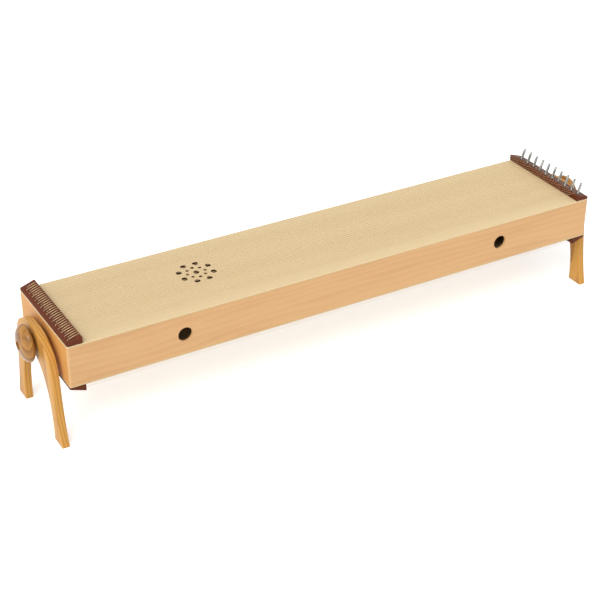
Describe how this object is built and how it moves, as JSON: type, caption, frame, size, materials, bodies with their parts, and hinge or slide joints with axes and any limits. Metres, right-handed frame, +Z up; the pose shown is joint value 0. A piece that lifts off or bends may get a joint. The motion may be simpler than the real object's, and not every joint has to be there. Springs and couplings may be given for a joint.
{
  "type": "monochord",
  "caption": "Long shallow wooden string box with strings on both faces, wedge rails, tuning pins and a drilled rosette, hung between two arched stands.",
  "frame": {"origin": "on the floor, under the middle of the box", "axes": "+X along the strings from the hitch end to the tuning pins, +Y to the rear side, away from the side with the two sound holes, +Z up"},
  "size_m": [1.3272, 0.241, 0.2584],
  "materials": {
    "spruce": "satin",
    "side_wood": "satin",
    "rail_wood": "satin",
    "stand_wood": "satin",
    "knob_wood": "satin",
    "pin_steel": "satin",
    "string_steel": "polished",
    "bolt_steel": "satin",
    "bush_brass": "satin",
    "washer_black": "matte"
  },
  "bodies": {
    "soundbox": {"soundboard_top": "spruce", "soundboard_underside": "spruce", "front_side": "side_wood", "rear_side": "side_wood", "left_end_block": "side_wood", "right_end_block": "side_wood", "brace_1": "spruce", "brace_2": "spruce", "brace_3": "spruce", "brace_4": "spruce", "top_hitch_rail": "rail_wood", "top_pin_rail": "rail_wood", "underside_hitch_rail": "rail_wood", "underside_pin_rail": "rail_wood", "left_spacer": "washer_black", "right_spacer": "washer_black", "left_pivot_bolt": "bolt_steel", "right_pivot_bolt": "bolt_steel", "left_block_bush": "bush_brass", "right_block_bush": "bush_brass"},
    "left_stand": {"left_stand": "stand_wood"},
    "left_knob_washer": {"left_knob_washer": "washer_black"},
    "left_knob": {"left_knob": "knob_wood", "left_knob_bush": "bush_brass"},
    "right_stand": {"right_stand": "stand_wood"},
    "right_knob_washer": {"right_knob_washer": "washer_black"},
    "right_knob": {"right_knob": "knob_wood", "right_knob_bush": "bush_brass"},
    "tuning_pin_01": {"tuning_pin_01": "pin_steel"},
    "tuning_pin_02": {"tuning_pin_02": "pin_steel"},
    "tuning_pin_03": {"tuning_pin_03": "pin_steel"},
    "tuning_pin_04": {"tuning_pin_04": "pin_steel"},
    "tuning_pin_05": {"tuning_pin_05": "pin_steel"},
    "tuning_pin_06": {"tuning_pin_06": "pin_steel"},
    "tuning_pin_07": {"tuning_pin_07": "pin_steel"},
    "tuning_pin_08": {"tuning_pin_08": "pin_steel"},
    "tuning_pin_09": {"tuning_pin_09": "pin_steel"},
    "tuning_pin_10": {"tuning_pin_10": "pin_steel"},
    "tuning_pin_11": {"tuning_pin_11": "pin_steel"},
    "tuning_pin_12": {"tuning_pin_12": "pin_steel"},
    "tuning_pin_13": {"tuning_pin_13": "pin_steel"},
    "tuning_pin_14": {"tuning_pin_14": "pin_steel"},
    "tuning_pin_15": {"tuning_pin_15": "pin_steel"},
    "tuning_pin_16": {"tuning_pin_16": "pin_steel"},
    "tuning_pin_17": {"tuning_pin_17": "pin_steel"},
    "tuning_pin_18": {"tuning_pin_18": "pin_steel"},
    "tuning_pin_19": {"tuning_pin_19": "pin_steel"},
    "tuning_pin_20": {"tuning_pin_20": "pin_steel"},
    "tuning_pin_21": {"tuning_pin_21": "pin_steel"},
    "tuning_pin_22": {"tuning_pin_22": "pin_steel"},
    "tuning_pin_23": {"tuning_pin_23": "pin_steel"},
    "tuning_pin_24": {"tuning_pin_24": "pin_steel"},
    "tuning_pin_25": {"tuning_pin_25": "pin_steel"},
    "tuning_pin_26": {"tuning_pin_26": "pin_steel"},
    "tuning_pin_27": {"tuning_pin_27": "pin_steel"},
    "tuning_pin_28": {"tuning_pin_28": "pin_steel"},
    "tuning_pin_29": {"tuning_pin_29": "pin_steel"},
    "tuning_pin_30": {"tuning_pin_30": "pin_steel"}
  },
  "joints": [
    {"name": "left_stand_turn", "type": "hinge", "parent": "soundbox", "child": "left_stand", "pos_m": [-0.62675, 0, 0.1795], "axis": [-1, 0, 0], "continuous": true},
    {"name": "left_knob_travel", "type": "slide", "parent": "soundbox", "child": "left_knob_washer", "axis": [-1, 0, 0], "range_m": [0, 0.003]},
    {"name": "left_knob_turn", "type": "hinge", "parent": "left_knob_washer", "child": "left_knob", "pos_m": [-0.6482, 0, 0.1795], "axis": [-1, 0, 0], "range_deg": [0, 720]},
    {"name": "right_stand_turn", "type": "hinge", "parent": "soundbox", "child": "right_stand", "pos_m": [0.62675, 0, 0.1795], "axis": [1, 0, 0], "continuous": true},
    {"name": "right_knob_travel", "type": "slide", "parent": "soundbox", "child": "right_knob_washer", "axis": [1, 0, 0], "range_m": [0, 0.003]},
    {"name": "right_knob_turn", "type": "hinge", "parent": "right_knob_washer", "child": "right_knob", "pos_m": [0.6482, 0, 0.1795], "axis": [1, 0, 0], "range_deg": [0, 720]},
    {"name": "tuning_pin_01_turn", "type": "hinge", "parent": "soundbox", "child": "tuning_pin_01", "pos_m": [0.5865, -0.11005, 0.23678], "axis": [0.3144, 0, 0.9493], "continuous": true},
    {"name": "tuning_pin_02_turn", "type": "hinge", "parent": "soundbox", "child": "tuning_pin_02", "pos_m": [0.594, -0.10265, 0.2343], "axis": [0.3144, 0, 0.9493], "continuous": true},
    {"name": "tuning_pin_03_turn", "type": "hinge", "parent": "soundbox", "child": "tuning_pin_03", "pos_m": [0.6015, -0.09525, 0.23182], "axis": [0.3144, 0, 0.9493], "continuous": true},
    {"name": "tuning_pin_04_turn", "type": "hinge", "parent": "soundbox", "child": "tuning_pin_04", "pos_m": [0.5865, -0.08785, 0.23678], "axis": [0.3144, 0, 0.9493], "continuous": true},
    {"name": "tuning_pin_05_turn", "type": "hinge", "parent": "soundbox", "child": "tuning_pin_05", "pos_m": [0.594, -0.08045, 0.2343], "axis": [0.3144, 0, 0.9493], "continuous": true},
    {"name": "tuning_pin_06_turn", "type": "hinge", "parent": "soundbox", "child": "tuning_pin_06", "pos_m": [0.6015, -0.07305, 0.23182], "axis": [0.3144, 0, 0.9493], "continuous": true},
    {"name": "tuning_pin_07_turn", "type": "hinge", "parent": "soundbox", "child": "tuning_pin_07", "pos_m": [0.5865, -0.06565, 0.23678], "axis": [0.3144, 0, 0.9493], "continuous": true},
    {"name": "tuning_pin_08_turn", "type": "hinge", "parent": "soundbox", "child": "tuning_pin_08", "pos_m": [0.594, -0.05825, 0.2343], "axis": [0.3144, 0, 0.9493], "continuous": true},
    {"name": "tuning_pin_09_turn", "type": "hinge", "parent": "soundbox", "child": "tuning_pin_09", "pos_m": [0.6015, -0.05085, 0.23182], "axis": [0.3144, 0, 0.9493], "continuous": true},
    {"name": "tuning_pin_10_turn", "type": "hinge", "parent": "soundbox", "child": "tuning_pin_10", "pos_m": [0.5865, -0.04345, 0.23678], "axis": [0.3144, 0, 0.9493], "continuous": true},
    {"name": "tuning_pin_11_turn", "type": "hinge", "parent": "soundbox", "child": "tuning_pin_11", "pos_m": [0.594, -0.03605, 0.2343], "axis": [0.3144, 0, 0.9493], "continuous": true},
    {"name": "tuning_pin_12_turn", "type": "hinge", "parent": "soundbox", "child": "tuning_pin_12", "pos_m": [0.6015, -0.02865, 0.23182], "axis": [0.3144, 0, 0.9493], "continuous": true},
    {"name": "tuning_pin_13_turn", "type": "hinge", "parent": "soundbox", "child": "tuning_pin_13", "pos_m": [0.5865, -0.02125, 0.23678], "axis": [0.3144, 0, 0.9493], "continuous": true},
    {"name": "tuning_pin_14_turn", "type": "hinge", "parent": "soundbox", "child": "tuning_pin_14", "pos_m": [0.594, -0.01385, 0.2343], "axis": [0.3144, 0, 0.9493], "continuous": true},
    {"name": "tuning_pin_15_turn", "type": "hinge", "parent": "soundbox", "child": "tuning_pin_15", "pos_m": [0.6015, -0.00645, 0.23182], "axis": [0.3144, 0, 0.9493], "continuous": true},
    {"name": "tuning_pin_16_turn", "type": "hinge", "parent": "soundbox", "child": "tuning_pin_16", "pos_m": [0.5865, 0.00095, 0.23678], "axis": [0.3144, 0, 0.9493], "continuous": true},
    {"name": "tuning_pin_17_turn", "type": "hinge", "parent": "soundbox", "child": "tuning_pin_17", "pos_m": [0.594, 0.00835, 0.2343], "axis": [0.3144, 0, 0.9493], "continuous": true},
    {"name": "tuning_pin_18_turn", "type": "hinge", "parent": "soundbox", "child": "tuning_pin_18", "pos_m": [0.6015, 0.01575, 0.23182], "axis": [0.3144, 0, 0.9493], "continuous": true},
    {"name": "tuning_pin_19_turn", "type": "hinge", "parent": "soundbox", "child": "tuning_pin_19", "pos_m": [0.5865, 0.02315, 0.23678], "axis": [0.3144, 0, 0.9493], "continuous": true},
    {"name": "tuning_pin_20_turn", "type": "hinge", "parent": "soundbox", "child": "tuning_pin_20", "pos_m": [0.594, 0.03055, 0.2343], "axis": [0.3144, 0, 0.9493], "continuous": true},
    {"name": "tuning_pin_21_turn", "type": "hinge", "parent": "soundbox", "child": "tuning_pin_21", "pos_m": [0.6015, 0.03795, 0.23182], "axis": [0.3144, 0, 0.9493], "continuous": true},
    {"name": "tuning_pin_22_turn", "type": "hinge", "parent": "soundbox", "child": "tuning_pin_22", "pos_m": [0.5865, 0.04535, 0.23678], "axis": [0.3144, 0, 0.9493], "continuous": true},
    {"name": "tuning_pin_23_turn", "type": "hinge", "parent": "soundbox", "child": "tuning_pin_23", "pos_m": [0.594, 0.05275, 0.2343], "axis": [0.3144, 0, 0.9493], "continuous": true},
    {"name": "tuning_pin_24_turn", "type": "hinge", "parent": "soundbox", "child": "tuning_pin_24", "pos_m": [0.6015, 0.06015, 0.23182], "axis": [0.3144, 0, 0.9493], "continuous": true},
    {"name": "tuning_pin_25_turn", "type": "hinge", "parent": "soundbox", "child": "tuning_pin_25", "pos_m": [0.5865, 0.06755, 0.23678], "axis": [0.3144, 0, 0.9493], "continuous": true},
    {"name": "tuning_pin_26_turn", "type": "hinge", "parent": "soundbox", "child": "tuning_pin_26", "pos_m": [0.594, 0.07495, 0.2343], "axis": [0.3144, 0, 0.9493], "continuous": true},
    {"name": "tuning_pin_27_turn", "type": "hinge", "parent": "soundbox", "child": "tuning_pin_27", "pos_m": [0.6015, 0.08235, 0.23182], "axis": [0.3144, 0, 0.9493], "continuous": true},
    {"name": "tuning_pin_28_turn", "type": "hinge", "parent": "soundbox", "child": "tuning_pin_28", "pos_m": [0.5865, 0.08975, 0.23678], "axis": [0.3144, 0, 0.9493], "continuous": true},
    {"name": "tuning_pin_29_turn", "type": "hinge", "parent": "soundbox", "child": "tuning_pin_29", "pos_m": [0.594, 0.09715, 0.2343], "axis": [0.3144, 0, 0.9493], "continuous": true},
    {"name": "tuning_pin_30_turn", "type": "hinge", "parent": "soundbox", "child": "tuning_pin_30", "pos_m": [0.6015, 0.10455, 0.23182], "axis": [0.3144, 0, 0.9493], "continuous": true}
  ],
  "couplings": [
    {"joint": "left_knob_travel", "follows": "left_knob_turn", "m_per_rad": 0.0002387},
    {"joint": "right_knob_travel", "follows": "right_knob_turn", "m_per_rad": 0.0002387}
  ]
}
